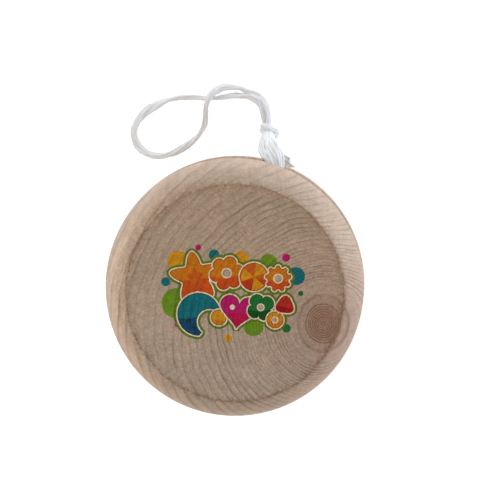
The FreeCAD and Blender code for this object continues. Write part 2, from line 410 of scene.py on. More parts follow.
def ring_darkness(nodes, at, waved, seed):
    """Each ring goes slowly from pale to dark and stops at a sharp edge."""
    count = ring_curve(nodes, waved)
    ring = nodes.ramp(nodes.math("FRACT", count), RING_PROFILE)
    luck = nodes.add("ShaderNodeTexWhiteNoise", noise_dimensions="1D")
    nodes.join(nodes.math("ADD", nodes.math("FLOOR", count), seed), luck.inputs["W"])
    strength = nodes.linear(luck.outputs["Value"], 0.65, 0.50)
    patchy = nodes.smooth_step(nodes.noise(at.along_grain, 0.25, 3.0), 0.3, 0.7, 0.45, 1.15)
    quiet_from = nodes.smooth_step(waved, CORE_RADIUS, CORE_RADIUS + 0.5)
    quiet_to = nodes.smooth_step(waved, 7.6, 8.8)
    quiet = nodes.linear(nodes.minus(quiet_from, quiet_to), -0.65, 1.0)
    far_out = nodes.smooth_step(waved, 14.0, 30.0, 1.0, 0.68)
    low_side = nodes.smooth_step(at.y, 10.0, -10.0, 0.80, 1.30)
    on_rim = nodes.smooth_step(at.from_axle, CREASE_RADIUS - 1.0, CREASE_RADIUS + 2.0, 1.0, low_side)
    in_core = nodes.smooth_step(waved, CORE_RADIUS - 0.1, CORE_RADIUS - 0.8, 1.0, 1.5)
    ring = nodes.times(ring, strength, patchy, quiet, far_out, on_rim, in_core)
    off_core_edge = nodes.math("ABSOLUTE", nodes.minus(waved, CORE_RADIUS))
    core_edge = nodes.smooth_step(off_core_edge, 0.24, 0.04)
    return nodes.linear(core_edge, nodes.times(patchy, 0.38), ring)


def fibre_light(nodes, at, waved, specks):
    """Rays, pores and fibres: specks on the end grain, and long streaks on the sides."""
    out_x, out_y, _ = nodes.split(at.outwards)

    def streaks(sideways, distance, outwards, scale):
        """Noise that is drawn out along the rays, or across them."""
        across = [nodes.times(out, sideways) for out in (out_x, out_y)]
        return nodes.noise(nodes.combine(*across, nodes.times(distance, outwards)), scale)

    rays = streaks(22.0, at.distance, 0.4, 1.7)
    fine_lines = streaks(6.0, waved, 2.2, 1.0)
    dots = nodes.noise(at.along_grain, 6.5, 2.0, 0.6)
    grit = nodes.noise(at.along_grain, 1.5, 2.0, 0.6)
    pores = nodes.smooth_step(nodes.noise(at.along_grain, 3.9, 2.0, 0.6), 0.60, 0.74)
    mottle = nodes.noise(at.along_grain, 0.5, 3.0)
    blotches = nodes.noise(at.grain_spot, 0.085)
    coarse = nodes.times(
        nodes.linear(specks, 1.35, 0.325),
        nodes.linear(pores, -0.14, 1.01),
        nodes.linear(dots, 1.30, 0.35),
        nodes.linear(grit, 0.50, 0.75),
    )
    coarse_share = nodes.linear(at.rim, -0.5, 1.0)
    return nodes.times(
        nodes.linear(rays, 0.30, 0.85),
        nodes.linear(fine_lines, 0.54, 0.73),
        nodes.linear(mottle, 0.28, 0.86),
        nodes.linear(blotches, 0.24, 0.88),
        nodes.linear(nodes.minus(coarse, 1.0), coarse_share, 1.0),
    )


def rim_tone_and_painted_light(nodes, at):
    """The rim is paler than the face, partly for its long grain and partly as painted light that grows as
    the rim steepens; painted shade darkens the wood beside the string gap.
    """
    rim_grain_and_painted_light = nodes.smooth_step(at.rim, 0.0, 1.0, 1.0, RIM_GRAIN_AND_PAINTED_LIGHT)
    gap_painted_shade = nodes.smooth_step(at.from_middle, HALF_GAP + 0.2, HALF_GAP + 1.1, GAP_PAINTED_SHADE, 1.0)
    # The shoulder past the crease gets a little painted light at the left, and painted shade at the top.
    paler = nodes.smooth_step(at.x, -12.0, -22.0, 0.0, 0.13)
    darker = nodes.smooth_step(at.y, 13.0, 21.0, 0.0, 0.13)
    shoulder_painted_shading = nodes.times(
        nodes.smooth_step(at.edge, CREASE_RADIUS + 0.1, CREASE_RADIUS + 0.9),
        nodes.smooth_step(at.from_axle, DISC_RADIUS - 0.5, DISC_RADIUS - 2.0),
        nodes.minus(paler, darker),
    )
    return nodes.times(rim_grain_and_painted_light, gap_painted_shade, nodes.math("ADD", shoulder_painted_shading, 1.0))


def crease_mark(nodes, at):
    """A thin dark brown line along the crease, with a patchy smear just inside it, strongest near the
    pith.
    """
    rough = nodes.swing(at.grain_spot, 1.3, 3.0, 0.65)
    off_crease = nodes.linear(rough, 1.3, nodes.minus(at.edge, CREASE_RADIUS + CREASE_SPREAD))
    near_core = nodes.smooth_step(at.plain_distance, 9.0, 4.5)
    patch = nodes.smooth_step(nodes.noise(at.grain_spot, 0.17), 0.42, 0.62)
    broken = nodes.smooth_step(nodes.noise(at.grain_spot, 1.2, 3.0, 0.6), 0.34, 0.64, 0.35, 1.0)
    flecks = nodes.smooth_step(nodes.noise(at.grain_spot, 2.4, 2.0, 0.7), 0.40, 0.60, 0.25, 1.0)
    line = nodes.smooth_step(nodes.math("ABSOLUTE", off_crease), 0.36, 0.03)
    line_strength = nodes.linear(near_core, 0.30, nodes.linear(patch, 0.20, 0.50))
    off_smear = nodes.math("ABSOLUTE", nodes.math("ADD", off_crease, 0.25))
    smear = nodes.times(nodes.smooth_step(off_smear, 1.25, 0.1), flecks)
    smear_strength = nodes.linear(patch, 0.34, nodes.linear(near_core, 0.34, 0.27))
    crease_darkening = nodes.math("ADD", nodes.times(line, line_strength), nodes.times(smear, smear_strength))
    crease_darkening = nodes.math("MULTIPLY", crease_darkening, broken, clamp=True)
    return nodes.times(crease_darkening, at.on_face)


def make_wood_group(name, pith, drift, seed):
    """Grain of wood round a pith that runs along the axle's line, with painted light and shade on the rim
    and by the string gap: gives a colour and a height.
    """
    group = bpy.data.node_groups.new(name, "ShaderNodeTree")
    group.interface.new_socket("Color", in_out="OUTPUT", socket_type="NodeSocketColor")
    group.interface.new_socket("Height", in_out="OUTPUT", socket_type="NodeSocketFloat")
    nodes = Nodes(group)
    at = wood_places(nodes, pith, seed)
    waved = wavy_distance(nodes, at, drift)
    ring = ring_darkness(nodes, at, waved, seed)
    specks = nodes.noise(at.along_grain, 3.3, 4.0, 0.75)
    # Grain brightness times the rim's tone, which holds painted light and shade.
    light = nodes.times(fibre_light(nodes, at, waved, specks), rim_tone_and_painted_light(nodes, at))

    tone = nodes.mix("MIX", nodes.math("MULTIPLY", ring, 1.0, clamp=True), PALE_WOOD, DARK_WOOD)
    stain = nodes.smooth_step(nodes.noise(at.along_grain, 0.26, 3.0), 0.30, 0.70)
    face_tint = nodes.mix("MIX", nodes.smooth_step(at.y, -22.0, 22.0), GREYER, YELLOWER)
    # The lower part of the rim gets painted warm shade.
    low_rim_painted_shade = nodes.times(at.rim, nodes.smooth_step(at.y, 0.0, -18.0))
    for share, tint in (
        (1.0, nodes.mix("MIX", stain, PINKISH, GREENISH)),
        (nodes.smooth_step(waved, CORE_RADIUS, 2.0), CORE_TINT),
        (nodes.smooth_step(waved, 18.0, 3.0), NEAR_CORE_TINT),
        (1.0, nodes.combine(light, light, light)),
        (nodes.minus(1.0, at.rim), face_tint),
        (low_rim_painted_shade, LOW_RIM_PAINTED_SHADE),
    ):
        tone = nodes.mix("MULTIPLY", share, tone, tint)
    tone = nodes.mix("MIX", crease_mark(nodes, at), tone, CREASE_BROWN)

    output = nodes.add("NodeGroupOutput")
    nodes.join(tone, output.inputs["Color"])
    nodes.join(nodes.linear(ring, -0.35, specks), output.inputs["Height"])
    return group


def make_wood(name, group):
    """Unvarnished sanded wood."""
    material, nodes, shader = new_material(name, 0.58, 0.42, sheen=0.10, sheen_roughness=0.4)
    wood = nodes.add("ShaderNodeGroup", node_tree=group)
    dress(nodes, shader, wood.outputs["Color"], wood.outputs["Height"], 0.06)
    return material


# ---- mesh helpers
def mesh_object(name, vertices, faces, materials, smooth=True):
    """A mesh piece in the scene, with its materials."""
    mesh = bpy.data.meshes.new(name)
    mesh.from_pydata([tuple(vertex) for vertex in vertices], [], faces)
    mesh.validate()
    if smooth:
        mesh.shade_smooth()
    for material in materials:
        mesh.materials.append(material)
    return add_to_scene(name, mesh)


def ring_noise(seed, size, waves):
    """A smooth closed curve of offsets round a circle, from -size to size."""
    luck = random.Random(seed)
    parts = [(n, luck.uniform(0, TURN), luck.uniform(0.4, 1.0) / math.sqrt(n)) for n in waves]
    total = sum(share for _, _, share in parts)
    return lambda angle: size / total * sum(share * math.sin(n * angle + turn) for n, turn, share in parts)


# ---- wooden halves
SEGMENTS = 288
GROOVE_DEPTH = 0.045


def arc_points(centre, radius, start, end, steps):
    """Points along an arc, from one angle to another."""
    angles = fractions(start, end, steps)
    return [(centre[0] + radius * math.cos(a), centre[1] + radius * math.sin(a)) for a in angles]


def half_profile():
    """Section of a half as (distance from the axle's line, distance from the inner face, groove share)."""
    wall_centre = (DISC_RADIUS - WALL_RADIUS, INNER_EDGE_RADIUS)
    reach = math.dist(wall_centre, (CREASE_RADIUS, HALF_WIDTH))
    between = WALL_RADIUS - SHOULDER_RADIUS
    cosine = (between**2 + reach**2 - SHOULDER_RADIUS**2) / (2 * between * reach)
    slant = math.atan2(HALF_WIDTH - wall_centre[1], CREASE_RADIUS - wall_centre[0])
    joint = slant - math.acos(cosine)
    shoulder_centre = (
        wall_centre[0] + between * math.cos(joint),
        wall_centre[1] + between * math.sin(joint),
    )
    top = math.atan2(HALF_WIDTH - shoulder_centre[1], CREASE_RADIUS - shoulder_centre[0])
    edge_centre = (DISC_RADIUS - INNER_EDGE_RADIUS, INNER_EDGE_RADIUS)
    flat = [(0, BORE_DEPTH), (BORE_RADIUS, BORE_DEPTH), (BORE_RADIUS, BORE_DEPTH / 2), (BORE_RADIUS, 0)]
    flat += [(radius, 0) for radius in fractions(BORE_RADIUS, edge_centre[0], 12)[1:-1]]
    flat += arc_points(edge_centre, INNER_EDGE_RADIUS, -math.pi / 2, 0, 8)
    flat += arc_points(wall_centre, WALL_RADIUS, 0, joint, 14)[1:]
    flat += arc_points(shoulder_centre, SHOULDER_RADIUS, joint, top, 26)[1:-1]
    profile = [(r, h, 0.0) for r, h in flat]
    inner = CREASE_RADIUS - 0.5
    profile += [
        (CREASE_RADIUS + 0.10, HALF_WIDTH - 0.07, 0.1),
        (CREASE_RADIUS, HALF_WIDTH, 1.0),
        (CREASE_RADIUS - 0.12, HALF_WIDTH, 0.6),
        (CREASE_RADIUS - 0.28, HALF_WIDTH, 0.0),
    ]
    profile += [(inner * (1 - step / 14), HALF_WIDTH, 0.0) for step in range(15)]
    return profile


def make_half(name, inner_face, direction, material, seed):
    """One wooden half, turned on a lathe, with an uneven scratched crease round its face."""
    crease_sway = ring_noise(seed, 0.16, (2, 3, 5, 7, 11, 16, 23))
    groove_sway = ring_noise(seed + 1, 0.6, (3, 5, 8, 13, 21, 34, 47))
    profile = half_profile()
    vertices, rows = [], []
    for radius, height, share in profile:
        near_crease = math.exp(-(((radius - CREASE_RADIUS) / 1.6) ** 2)) * (height > HALF_WIDTH / 2)
        if radius == 0:
            rows.append([len(vertices)] * SEGMENTS)
            vertices.append(Vector((0, 0, inner_face + direction * height)) * MM)
            continue
        rows.append(list(range(len(vertices), len(vertices) + SEGMENTS)))
        for step in range(SEGMENTS):
            angle = TURN * step / SEGMENTS
            shift = CREASE_SHIFT[0] * math.cos(angle) + CREASE_SHIFT[1] * math.sin(angle)
            r = radius + near_crease * (crease_sway(angle) + shift + CREASE_SPREAD)
            depth = share * GROOVE_DEPTH * (1 + groove_sway(angle))
            z = inner_face + direction * (height - depth)
            vertices.append(Vector((r * math.cos(angle), r * math.sin(angle), z)) * MM)
    faces = []
    for lower, upper in zip(rows, rows[1:]):
        for step in range(SEGMENTS):
            after = (step + 1) % SEGMENTS
            corners = list(dict.fromkeys((lower[step], lower[after], upper[after], upper[step])))
            faces.append(corners if direction > 0 else corners[::-1])
    piece = mesh_object(name, vertices, faces, [material])
    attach(piece, "yoyo")
    return piece


# ---- print
GRAIN_MEAN = (0.36, 0.26, 0.185)  # where the wood is paler than this, ink is paler than its colour
PRINT_HEIGHT = 0.02
PRINT_DEPTH = 0.03
# How far outside a toy its outlines end, or inside it where negative.
KEYLINE_GROWTH = 0.25
OUTLINE_GROWTH = 0.68
INNER_GROWTH = -0.14
OUTLINE_STEP = 0.12


def make_ink(name, grain, upper, lower, split):
    """Ink soaked into the wood, so that the grain shows through. The lower part is darker."""
    material, nodes, shader = new_material(name, 0.7, 0.12)
    wood = nodes.add("ShaderNodeGroup", node_tree=grain)
    spot = nodes.place()
    x, y, _ = nodes.split(spot)
    border = nodes.linear(nodes.math("SINE", nodes.times(x, 0.9)), 0.25, split)
    above = nodes.smooth_step(y, nodes.minus(border, 0.15), nodes.math("ADD", border, 0.15))
    colour = nodes.mix("MIX", above, lower, upper)
    grain_share = nodes.mix("DIVIDE", 1.0, wood.outputs["Color"], GRAIN_MEAN)
    inked = nodes.mix("MULTIPLY", 0.85, colour, grain_share)
    worn = nodes.smooth_step(nodes.noise(spot, 3.6, 3.0, 0.7), 0.50, 0.85, 0.0, 0.22)
    inked = nodes.mix("MIX", worn, inked, wood.outputs["Color"])
    dress(nodes, shader, inked, wood.outputs["Height"], 0.05)
    return material


def spot_at(centre, radius, angle):
    """The point at a distance from a centre, in the direction of an angle."""
    return Vector(centre) + Vector((math.cos(angle), math.sin(angle))) * radius


def polar_shape(radius_at, centre, points, turn=0.0):
    """A closed outline from a formula for its distance from its centre, turned by some degrees."""
    angles = [TURN * step / points for step in range(points)]
    return [spot_at(centre, radius_at(angle), angle + math.radians(turn)) for angle in angles]


def circle_shape(centre, radius):
    return polar_shape(lambda angle: radius, centre, 64)


def star_shape(centre, radius, corners, depth, turn):
    """A star with soft points."""
    return polar_shape(
        lambda angle: radius * (1 - depth * (0.5 - 0.5 * math.cos(corners * angle)) ** 0.75),
        centre,
        corners * 24,
        turn,
    )


def flower_shape(centre, radius, petals, depth, turn):
    return polar_shape(
        lambda angle: radius * (1 - depth * (1 - abs(math.cos(petals * angle / 2)) ** 0.6)),
        centre,
        petals * 28,
        turn,
    )


def gear_shape(centre, radius, teeth):
    """A wheel with rounded teeth."""
    return polar_shape(
        lambda angle: radius * (0.90 + 0.10 * math.tanh(2.5 * math.sin(teeth * angle)) / math.tanh(2.5)),
        centre,
        teeth * 20,
    )


def sector_shape(centre, radius, start, end):
    """A slice of a circle, with angles in degrees."""
    arc = fractions(math.radians(start), math.radians(end), 16)
    return [Vector(centre)] + [spot_at(centre, radius, angle) for angle in arc]


def heart_shape(centre, size, turn):
    """A rounded heart."""
    outline = []
    for step in range(96):
        t = -TURN * step / 96
        x = 16 * math.sin(t) ** 3
        y = 13 * math.cos(t) - 5 * math.cos(2 * t) - 2 * math.cos(3 * t) - math.cos(4 * t)
        spot = Matrix.Rotation(math.radians(turn), 2) @ Vector((x, y + 2.5))
        outline.append(Vector(centre) + spot * size / 16)
    return outline


def moon_shape(centre, radius, turn):
    """A crescent with rounded tips."""
    tip_angle = math.radians(126)
    tip_size = 0.10 * radius
    outer = [spot_at((0, 0), radius, angle) for angle in fractions(-tip_angle, tip_angle, 48)]
    top = outer[-1]
    inner_centre = Vector((-0.62 * radius, 0))
    inner_reach = (top - inner_centre).length - 2 * tip_size
    turn_from = math.atan2(top.y, top.x - inner_centre.x)
    inner = [spot_at(inner_centre, inner_reach, angle) for angle in fractions(turn_from, -turn_from, 40)]
    turned = Matrix.Rotation(math.radians(turn), 2)
    return [Vector(centre) + turned @ spot for spot in outer + inner]


def grown(outline, growth):
    """The outline moved outwards, or inwards where the growth is negative, and never across itself."""
    closed = np.array([*outline, outline[0]])
    total = line_length(closed)
    places = np.linspace(0, total, int(total / OUTLINE_STEP), endpoint=False)
    points = spaced(closed, places)
    along = np.roll(points, -1, axis=0) - np.roll(points, 1, axis=0)
    moved = points + unit(np.stack([along[:, 1], -along[:, 0]], axis=1)) * growth
    apart = np.linalg.norm(moved[:, None] - points[None], axis=2).min(axis=1)
    return [Vector(spot) for spot in moved[apart > 0.97 * abs(growth)]]


def make_plate(name, layers, materials):
    """One thin closed plate on the front face. The last layer is on top, and one with no ink is a hole."""
    spots, rings = [], []
    for outline, _ in layers:
        rings.append(list(range(len(spots), len(spots) + len(outline))))
        spots += outline
    inside_only = 1
    corners, _, triangles, _, _, owners = delaunay_2d_cdt(spots, [], rings, inside_only, 1e-5)
    kept = [
        (list(triangle), max(owner))
        for triangle, owner in zip(triangles, owners)
        if owner and layers[max(owner)][1] is not None
    ]
    total = len(corners)
    low = (FRONT_FACE - PRINT_DEPTH) * MM
    high = (FRONT_FACE + PRINT_HEIGHT) * MM
    vertices = [(corner.x * MM, corner.y * MM, height) for height in (high, low) for corner in corners]
    edges = {(a, b) for triangle, _ in kept for a, b in zip(triangle, triangle[1:] + triangle[:1])}
    faces = [triangle for triangle, _ in kept]
    faces += [[corner + total for corner in triangle[::-1]] for triangle in faces]
    walls = [(a, b) for a, b in sorted(edges) if (b, a) not in edges]
    faces += [(b, a, a + total, b + total) for a, b in walls]
    piece = mesh_object(name, vertices, faces, materials, smooth=False)
    mesh = piece.data
    inks = [layers[owner][1] for _, owner in kept]
    for face, ink in zip(mesh.polygons, inks + inks):
        face.material_index = ink
    work = bmesh.new()
    work.from_mesh(mesh)
    bmesh.ops.delete(work, geom=[vertex for vertex in work.verts if not vertex.link_faces])
    work.to_mesh(mesh)
    work.free()
    return piece


# Inks: colour of the upper part and of the lower part.
INKS = {
    "orange": ((0.480, 0.145, 0.002), (0.465, 0.060, 0.004)),
    "dark_orange": ((0.450, 0.084, 0.004), (0.400, 0.030, 0.004)),
    "amber": ((0.520, 0.225, 0.004), (0.470, 0.152, 0.004)),
    "teal": ((0.001, 0.120, 0.140), (0.001, 0.048, 0.100)),
    "magenta": ((0.400, 0.005, 0.110), (0.400, 0.002, 0.046)),
    "green": ((0.008, 0.130, 0.022), (0.002, 0.060, 0.008)),
    "red": ((0.370, 0.020, 0.010), (0.300, 0.002, 0.005)),
    "lime": ((0.115, 0.215, 0.008), (0.105, 0.200, 0.008)),
}
PLAIN_INKS = {
    "olive": (0.090, 0.150, 0.010),
    "pale": (0.66, 0.54, 0.36),
    "dark_red": (0.290, 0.014, 0.006),
    "dark_blue": (0.002, 0.030, 0.060),
    "dark_green": (0.002, 0.040, 0.008),
    "plum": (0.150, 0.003, 0.045),
}
INKS |= {name: (colour, colour) for name, colour in PLAIN_INKS.items()}
WHOLE = -90.0  # a border this far down leaves all of an ink in its upper colour
# Printed toys: outline, ink of its edge, ink inside, and where the lower part begins.
TOYS = [
    (star_shape((-6.9, 3.1), 4.9, 5, 0.46, 98), "dark_red", "orange", 2.7),
    (flower_shape((-0.9, 3.9), 3.3, 6, 0.28, 12), "dark_red", "orange", 3.2),
    (circle_shape((4.3, 3.2), 2.7), "dark_red", "dark_orange", 2.9),
    (gear_shape((8.9, 2.9), 2.5, 9), "dark_red", "orange", 2.4),
    (moon_shape((-6.2, -4.0), 4.1, 145), "dark_blue", "teal", -4.6),
    (circle_shape((-2.4, -4.6), 1.5), "dark_red", "amber", -4.9),
    (heart_shape((1.3, -3.7), 3.6, -8), "plum", "magenta", -3.9),
    (flower_shape((5.6, -2.6), 2.7, 4, 0.34, 32), "dark_green", "green", -3.1),
    (circle_shape((8.3, -5.0), 1.6), "dark_red", "amber", -5.3),
    (star_shape((10.2, -2.2), 1.9, 3, 0.24, 84), "dark_red", "red", -2.6),
]
# Small marks on the toys: outline and ink, or no ink where the wood shows.
DETAILS = [
    (star_shape((-6.9, 3.1), 1.7, 5, 0.40, 98), "dark_orange"),
    (circle_shape((-8.2, -5.2), 0.50), "dark_blue"),
    (circle_shape((-7.2, -6.5), 0.35), "dark_blue"),
    (circle_shape((0.2, -2.6), 0.50), "pale"),
]
DETAILS += [(sector_shape((4.3, 3.2), 2.52, start, start + 60), "amber") for start in (20, 140, 260)]
# Holes with a pale edge: centre, radius of the edge and radius of the hole.
HOLES = [
    ((-0.9, 3.9), 1.0, 0.75), ((8.9, 2.9), 0.95, 0.70),
    ((5.6, -2.6), 0.75, 0.50), ((8.3, -5.0), 0.68, 0.46),
]
for hole_centre, edge_radius, hole_radius in HOLES:
    DETAILS.append((circle_shape(hole_centre, edge_radius), "pale"))
    DETAILS.append((circle_shape(hole_centre, hole_radius), None))
# Round bubbles of each ink: centre and radius.
BUBBLES = {
    "amber": [((-10.2, 6.2), 1.9), ((1.9, 6.7), 1.4), ((-0.6, -8.5), 0.7)],
    "lime": [((-10.4, -1.9), 2.9), ((7.1, 6.0), 1.6), ((4.2, -6.2), 1.9)],
    "teal": [((-12.5, 2.2), 0.85), ((12.3, 3.4), 1.7), ((-3.3, 7.4), 1.0)],
    "magenta": [((-6.3, 8.8), 0.55), ((10.4, 6.9), 0.75), ((-10.3, -6.0), 0.5)],
    "green": [((10.5, -6.6), 0.8), ((13.2, 0.1), 0.5)],
}


def make_print(grain):
    """A made-up cluster of toy shapes with a pale keyline and an olive outline, among round bubbles."""
    names = list(INKS)
    materials = [make_ink(f"ink_{name}", grain, *INKS[name], WHOLE) for name in names]
    layers = [
        (circle_shape(centre, radius), names.index(ink))
        for ink, spots in BUBBLES.items()
        for centre, radius in spots
    ]
    layers += [(grown(outline, OUTLINE_GROWTH), names.index("olive")) for outline, *_ in TOYS]
    for number, (outline, edge, ink, split) in enumerate(TOYS):
        layers.append((grown(outline, KEYLINE_GROWTH), names.index("pale")))
        layers.append((outline, names.index(edge)))
        layers.append((grown(outline, INNER_GROWTH), len(materials)))
        materials.append(make_ink(f"ink_toy_{number}", grain, *INKS[ink], split))
    layers += [(outline, names.index(ink) if ink else None) for outline, ink in DETAILS]
    piece = make_plate("printed_toys", layers, materials)
    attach(piece, "yoyo")


# ---- string
COTTON = (0.925, 0.928, 0.936)
# Distance between a yarn's rings of vertices, on the free end and in the winding.
FREE_STEP = 0.25
WOUND_STEP = 1.1
YARN_SIDES = 8
FLOOR_GAP = 0.02
# Two plies twisted together, each with one yarn in its middle and the others round it.
PLIES = 2
YARNS_IN_PLY = 6
YARNS = PLIES * YARNS_IN_PLY
YARN_RADIUS = 0.20
YARN_OFFSET = 0.25
PLY_OFFSET = 0.21
TWIST_LENGTH = 17.0
WOUND_WIDTH = 1.0
# Distance past the knot, and the width of the string there.
WIDTHS = [
    (0.0, 1.50), (7.0, 1.40), (10.0, 1.15), (15.0, 1.3), (16.8, 1.75), (18.8, 1.75), (20.4, 0.95),
    (23.5, 1.15), (30.0, 1.2), (32.5, 1.5), (35.5, 1.45), (38.5, 1.25), (40.5, 1.6), (43.0, 1.4),
    (45.5, 1.75), (49.5, 1.75), (53.0, 1.3), (59.0, 1.0), (64.0, 0.95), (68.5, 1.35), (72.0, 1.40),
    (77.0, 1.30),
]
# Distance from the knot back up the lead, and half the width of the fan of loose yarns there.
FAN_HALF_WIDTHS = [
    (0.0, 0.85), (3.5, 1.2), (8.6, 1.95), (12.0, 1.8), (14.5, 1.15), (17.0, 0.7), (20.0, 0.5),
]
FAN_CROWN = 0.35
FRAYED_LENGTH = 2.4
# The knot's turns, measured from its centre.
KNOT_ROUTE = [
    (0.1, -1.0, -0.7), (0.8, -1.0, -0.5), (1.25, -0.6, 0.2), (0.8, -0.1, 0.95), (-0.3, 0.4, 1.0),
    (-1.1, 0.6, 0.3), (-1.3, 0.3, -0.5), (-0.5, 0.1, -0.8), (0.5, 0.2, -0.6), (1.2, -0.2, 0.1),
    (0.9, -0.8, 0.9), (0.1, -0.7, 0.9), (-0.8, -0.2, 0.4), (-1.1, -0.3, -0.5),
]
KNOT_WIDTH = 1.68
# The flat tuft of fibres at the cut end: corners of its root, its notch and its two tips.
TUFT_FIBRES = 130
TUFT_HEIGHT = 0.9
TUFT_ROOT = np.array([(8.0, 24.7), (8.7, 22.5)])
TUFT_NOTCH = np.array((9.7, 23.2))
TUFT_TIPS = np.array([(10.15, 23.85), (11.15, 21.95)])


def make_string_material():
    """Soft white cotton with fine lengthwise filaments."""
    material, nodes, shader = new_material("white_cotton", 0.85, 0.15, sheen=0.25)
    uv = nodes.add("ShaderNodeUVMap", uv_map="strand").outputs[0]
    stretched = nodes.vector_math("MULTIPLY", uv, (1.0, 9.0, 1.0))
    filaments = nodes.noise(stretched, 2.2, 3.0, 0.6)
    clumps = nodes.noise(nodes.place(), 0.9)
    light = nodes.times(nodes.linear(filaments, 0.12, 0.94), nodes.linear(clumps, 0.08, 0.96))
    tone = nodes.mix("MULTIPLY", 1.0, COTTON, nodes.combine(light, light, light))
    dress(nodes, shader, tone, filaments, 0.08)
    return material


def winding_route():
    """Turns round the axle, two side by side in each layer, from the axle outwards."""
    luck = random.Random(4)
    route = []
    start = 0.05 - TURN * WINDING_TURNS
    for step in range(WINDING_TURNS * POINTS_PER_TURN):
        turns = step / POINTS_PER_TURN
        turn = int(turns)
        # The string moves to its next layer or side in the last fifth of each turn.
        moving = max(0.0, (turns - turn) * 5 - 4)
        moving = moving * moving * (3 - 2 * moving)
        layer = [index // 2 for index in (turn, turn + 1)]
        side = [(-1, 1, 1, -1)[index % 4] for index in (turn, turn + 1)]
        radius = WINDING_START_RADIUS + WINDING_LAYER * (layer[0] + (layer[1] - layer[0]) * moving)
        height = GAP_MIDDLE + WINDING_SIDE_STEP * (side[0] + (side[1] - side[0]) * moving)
        radius = max(radius + luck.uniform(-0.06, 0.06), CLEAR_OF_DOWEL)
        height += luck.uniform(-0.05, 0.05)
        angle = start + TURN * turns
        route.append((radius * math.cos(angle), radius * math.sin(angle), height))
    return route


def twisted_neck(side):
    """One of the two strands that lie twisted round each other between the knot and the finger loop."""
    route = []
    for index, (before, after) in enumerate(zip(NECK_ROUTE, NECK_ROUTE[1:])):
        along = Vector(after) - Vector(before)
        across = Vector((-along.y, along.x, 0)).normalized()
        middle = (Vector(before) + Vector(after)) / 2
        angle = math.radians(NECK_START_DEGREES + NECK_STEP_DEGREES * index)
        offset = across * math.cos(angle) + Vector((0, 0, 0.8)) * math.sin(angle)
        route.append(middle + offset * NECK_REACH * side + Vector((0, 0, NECK_RISE)))
    return route


def string_route():
    """Every control point of the string: the winding, the lead, the knot, the finger loop and the tail."""
    knot = Vector(KNOT_CENTRE)
    route = winding_route() + LEAD_ROUTE + [knot + Vector((-0.25, 0.1, 0.2))]
    route += twisted_neck(-1) + LOOP_ROUTE + twisted_neck(1)[::-1]
    return route + [knot + Vector((0.3, -0.1, -0.2))] + TAIL_ROUTE


def smooth_line(route):
    """Points along the NURBS spline whose control points are the route's."""
    curve = bpy.data.curves.new("route", "CURVE")
    curve.dimensions = "3D"
    spline = curve.splines.new("NURBS")
    spline.points.add(len(route) - 1)
    for point, place in zip(spline.points, route):
        point.co = (*(Vector(place) * MM), 1)
    spline.order_u = 3
    spline.use_endpoint_u = True
    spline.resolution_u = 12
    holder = add_to_scene("route", curve)
    bpy.context.view_layer.update()
    mesh = bpy.data.meshes.new_from_object(holder.evaluated_get(bpy.context.evaluated_depsgraph_get()))
    line = np.array([vertex.co for vertex in mesh.vertices]) / MM
    bpy.data.objects.remove(holder)
    return line


def level_frames(points):
    """Two directions across a line at each of its points: a level one and the one above it."""
    along = unit(np.gradient(points, axis=0))
    level = unit(np.cross(along, (0.0, 0.0, 1.0)))
    return level, np.cross(level, along)


def carried_frames(points):
    """Two directions across a line that turn with it as little as they can."""
    along = unit(np.gradient(points, axis=0))
    side = np.zeros_like(points)
    side[0] = unit(np.cross(along[0], (0.3, 0.2, 1.0)))
    for index in range(1, len(points)):
        side[index] = unit(side[index - 1] - along[index] * np.dot(side[index - 1], along[index]))
    return side, np.cross(along, side)


def step_up(value, low, high):
    """Goes smoothly from 0 to 1 as a value goes from low to high."""
    share = np.clip((value - low) / (high - low), 0.0, 1.0)
    return share * share * (3 - 2 * share)


def table(value, pairs):
    """Reads a smooth value between the pairs of a short table."""
    spots, values = np.array(pairs).T
    reach = 0.6
    return sum(np.interp(value + shift, spots, values) for shift in (-reach, 0.0, reach)) / 3


def yarn_offsets(angle, number):
    """How far a yarn lies from the string's middle, sideways and upwards, where the string is twisted."""
    ply, yarn = divmod(number, YARNS_IN_PLY)
    turned = angle + TURN * ply / PLIES
    sideways, upwards = PLY_OFFSET * np.cos(turned), PLY_OFFSET * np.sin(turned)
    if yarn:
        own = 0.35 * angle + TURN * (yarn + 0.5 * ply) / (YARNS_IN_PLY - 1)
        sideways = sideways + YARN_OFFSET * np.cos(own)
        upwards = upwards + YARN_OFFSET * np.sin(own)
    return sideways, upwards


